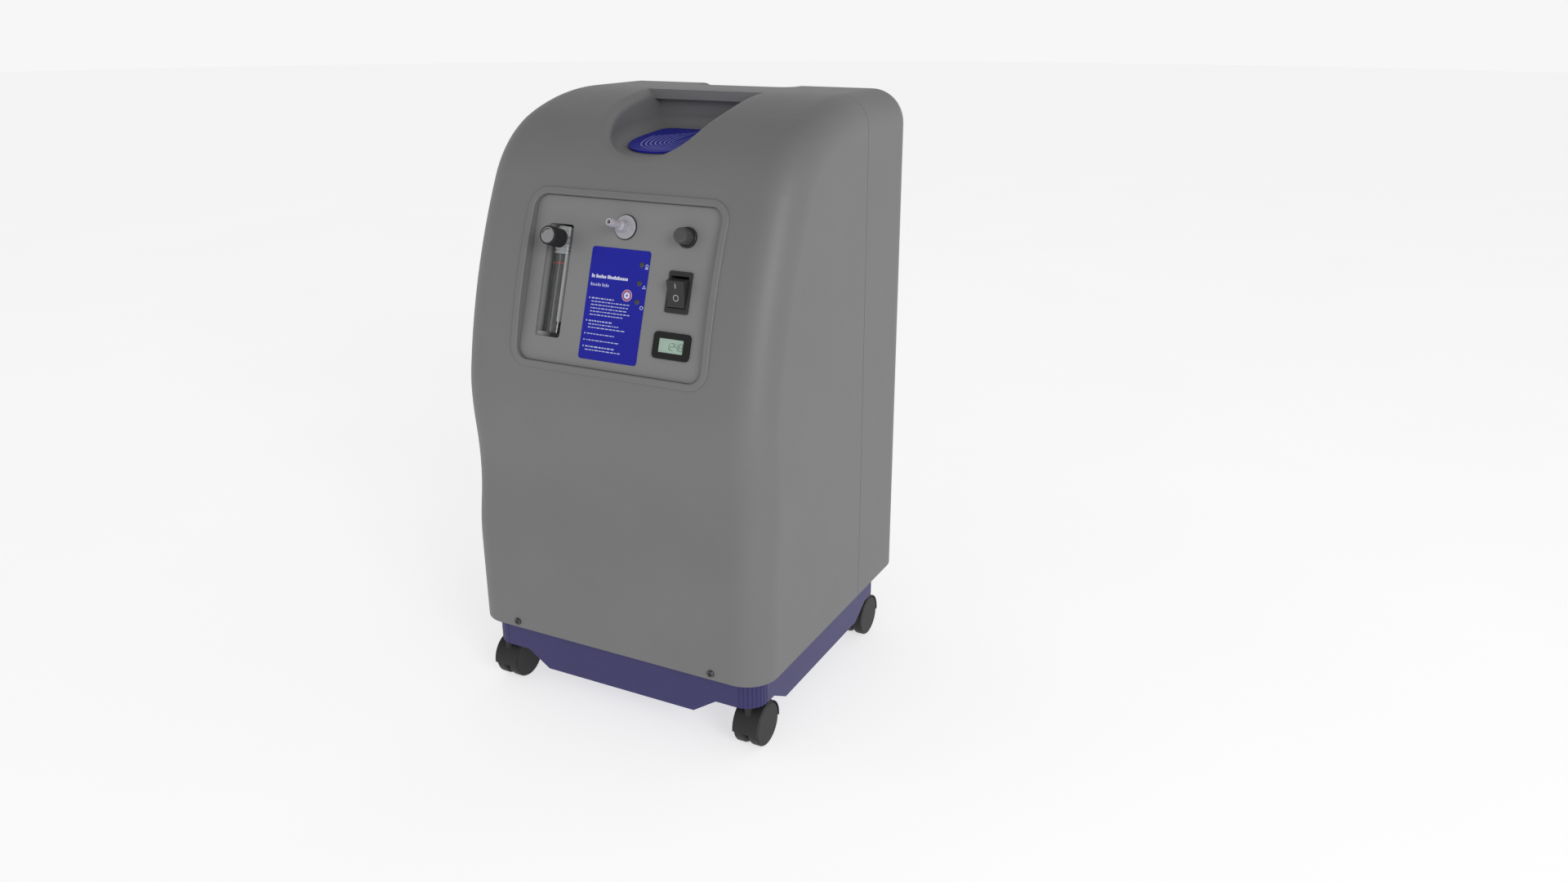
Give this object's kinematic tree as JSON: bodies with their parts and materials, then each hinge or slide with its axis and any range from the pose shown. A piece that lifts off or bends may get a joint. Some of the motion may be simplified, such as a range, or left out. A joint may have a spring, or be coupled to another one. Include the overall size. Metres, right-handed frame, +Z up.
{
  "type": "oxygen concentrator",
  "caption": "Wheeled oxygen concentrator cabinet with a leaning control panel, flow meter, outlet nozzle, rocker switch and twin-wheel casters.",
  "frame": {"origin": "on the floor, below the middle of the cabinet", "axes": "+Z up, the control panel faces -Y, +X on the right when facing the panel"},
  "size_m": [0.3378, 0.3414, 0.6],
  "materials": {
    "shell": "satin",
    "panel_plate": "satin",
    "blue_label": "satin",
    "lens": "gloss",
    "white_moulding": "satin",
    "clear_acrylic": "gloss",
    "float_steel": "polished",
    "valve_plastic": "gloss",
    "knob_black": "satin",
    "knob_cap": "satin",
    "nozzle": "gloss",
    "black_rubber": "matt",
    "black_plastic": "satin",
    "grey_silicone": "satin",
    "lcd": "gloss",
    "base_plastic": "satin",
    "caster_black": "satin",
    "wheel_disc": "satin",
    "steel": "brushed",
    "black_screw": "satin",
    "filter_foam": "matt",
    "galvanised": "satin",
    "motor_paint": "satin",
    "cast_aluminium": "cast",
    "drawn_aluminium": "satin",
    "circuit_green": "satin"
  },
  "bodies": {
    "housing": {"front_shell": "shell", "rear_shell": "shell", "shell_screws": "black_screw", "handle_grille": "blue_label", "control_panel": "panel_plate", "panel_label": "blue_label", "status_lenses": "lens", "flow_housing": "white_moulding", "flow_tube": "clear_acrylic", "flow_valve": "valve_plastic", "outlet_gasket": "black_rubber", "outlet_nozzle": "nozzle", "reset_breaker": "black_plastic", "rocker_frame": "black_plastic", "hour_meter_case": "black_plastic", "hour_meter_screen": "lcd", "base_tray": "base_plastic", "base_trough": "base_plastic", "base_side_troughs": "base_plastic", "filter_foam": "filter_foam", "power_inlet": "black_plastic", "chassis_frame": "galvanised", "isolation_springs": "steel", "compressor_motor": "motor_paint", "compressor_heads": "cast_aluminium", "sieve_beds": "drawn_aluminium", "product_tank": "drawn_aluminium", "valve_manifold": "cast_aluminium", "solenoid_valves": "black_plastic", "heat_exchanger": "drawn_aluminium", "cooling_fan_frame": "black_plastic", "circuit_board": "circuit_green", "run_capacitor": "drawn_aluminium", "exhaust_muffler": "black_plastic", "intake_filter": "white_moulding"},
    "flow_float": {"flow_float": "float_steel"},
    "flow_knob": {"flow_knob": "knob_black", "flow_knob_cap": "knob_cap"},
    "reset_button": {"reset_button": "grey_silicone"},
    "rocker_key": {"rocker_key": "black_plastic"},
    "compressor_shaft": {"compressor_shaft": "steel"},
    "cooling_fan_rotor": {"cooling_fan_rotor": "black_plastic"},
    "filter_cover": {"filter_cover": "shell"},
    "caster_front_left": {"caster_hood_front_left": "caster_black", "caster_axle_front_left": "steel"},
    "wheel_front_left_inner": {"caster_wheel_front_left_inner": "wheel_disc"},
    "wheel_front_left_outer": {"caster_wheel_front_left_outer": "wheel_disc"},
    "caster_front_right": {"caster_hood_front_right": "caster_black", "caster_axle_front_right": "steel"},
    "wheel_front_right_inner": {"caster_wheel_front_right_inner": "wheel_disc"},
    "wheel_front_right_outer": {"caster_wheel_front_right_outer": "wheel_disc"},
    "caster_rear_left": {"caster_hood_rear_left": "caster_black", "caster_axle_rear_left": "steel"},
    "wheel_rear_left_inner": {"caster_wheel_rear_left_inner": "wheel_disc"},
    "wheel_rear_left_outer": {"caster_wheel_rear_left_outer": "wheel_disc"},
    "caster_rear_right": {"caster_hood_rear_right": "caster_black", "caster_axle_rear_right": "steel"},
    "wheel_rear_right_inner": {"caster_wheel_rear_right_inner": "wheel_disc"},
    "wheel_rear_right_outer": {"caster_wheel_rear_right_outer": "wheel_disc"}
  },
  "joints": [
    {"name": "flow_float_rise", "type": "slide", "parent": "housing", "child": "flow_float", "axis": [0, 0.3223, 0.9466], "range_m": [0, 0.056]},
    {"name": "flow_knob_turn", "type": "hinge", "parent": "housing", "child": "flow_knob", "pos_m": [-0.062, -0.14518, 0.48205], "axis": [0, -0.9466, 0.3223], "range_deg": [0, 900]},
    {"name": "reset_button_press", "type": "slide", "parent": "housing", "child": "reset_button", "axis": [0, 0.9466, -0.3223], "range_m": [0, 0.003], "stiffness_N_per_m": 300},
    {"name": "rocker_key_tilt", "type": "hinge", "parent": "housing", "child": "rocker_key", "pos_m": [0.0682, -0.13037, 0.43866], "axis": [-1, 0, 0], "range_deg": [0, 38]},
    {"name": "compressor_shaft_spin", "type": "hinge", "parent": "housing", "child": "compressor_shaft", "pos_m": [0, -0.045, 0.166], "axis": [1, 0, 0], "continuous": true},
    {"name": "cooling_fan_spin", "type": "hinge", "parent": "housing", "child": "cooling_fan_rotor", "pos_m": [0, 0.03, 0.3], "axis": [0, 1, 0], "continuous": true},
    {"name": "filter_cover_pull", "type": "slide", "parent": "housing", "child": "filter_cover", "axis": [0, 1, 0], "range_m": [0, 0.03]},
    {"name": "swivel_front_left", "type": "hinge", "parent": "housing", "child": "caster_front_left", "pos_m": [-0.1443, -0.1495, 0.055], "axis": [0, 0, 1], "continuous": true},
    {"name": "roll_front_left_inner", "type": "hinge", "parent": "caster_front_left", "child": "wheel_front_left_inner", "pos_m": [-0.1443, -0.1352, 0.022], "axis": [1, 0, 0], "continuous": true},
    {"name": "roll_front_left_outer", "type": "hinge", "parent": "caster_front_left", "child": "wheel_front_left_outer", "pos_m": [-0.1443, -0.1352, 0.022], "axis": [1, 0, 0], "continuous": true},
    {"name": "swivel_front_right", "type": "hinge", "parent": "housing", "child": "caster_front_right", "pos_m": [0.1443, -0.1495, 0.055], "axis": [0, 0, 1], "continuous": true},
    {"name": "roll_front_right_inner", "type": "hinge", "parent": "caster_front_right", "child": "wheel_front_right_inner", "pos_m": [0.1443, -0.1352, 0.022], "axis": [1, 0, 0], "continuous": true},
    {"name": "roll_front_right_outer", "type": "hinge", "parent": "caster_front_right", "child": "wheel_front_right_outer", "pos_m": [0.1443, -0.1352, 0.022], "axis": [1, 0, 0], "continuous": true},
    {"name": "swivel_rear_left", "type": "hinge", "parent": "housing", "child": "caster_rear_left", "pos_m": [-0.1443, 0.1272, 0.055], "axis": [0, 0, 1], "continuous": true},
    {"name": "roll_rear_left_inner", "type": "hinge", "parent": "caster_rear_left", "child": "wheel_rear_left_inner", "pos_m": [-0.1443, 0.1129, 0.022], "axis": [1, 0, 0], "continuous": true},
    {"name": "roll_rear_left_outer", "type": "hinge", "parent": "caster_rear_left", "child": "wheel_rear_left_outer", "pos_m": [-0.1443, 0.1129, 0.022], "axis": [1, 0, 0], "continuous": true},
    {"name": "swivel_rear_right", "type": "hinge", "parent": "housing", "child": "caster_rear_right", "pos_m": [0.1443, 0.1272, 0.055], "axis": [0, 0, 1], "continuous": true},
    {"name": "roll_rear_right_inner", "type": "hinge", "parent": "caster_rear_right", "child": "wheel_rear_right_inner", "pos_m": [0.1443, 0.1129, 0.022], "axis": [1, 0, 0], "continuous": true},
    {"name": "roll_rear_right_outer", "type": "hinge", "parent": "caster_rear_right", "child": "wheel_rear_right_outer", "pos_m": [0.1443, 0.1129, 0.022], "axis": [1, 0, 0], "continuous": true}
  ]
}
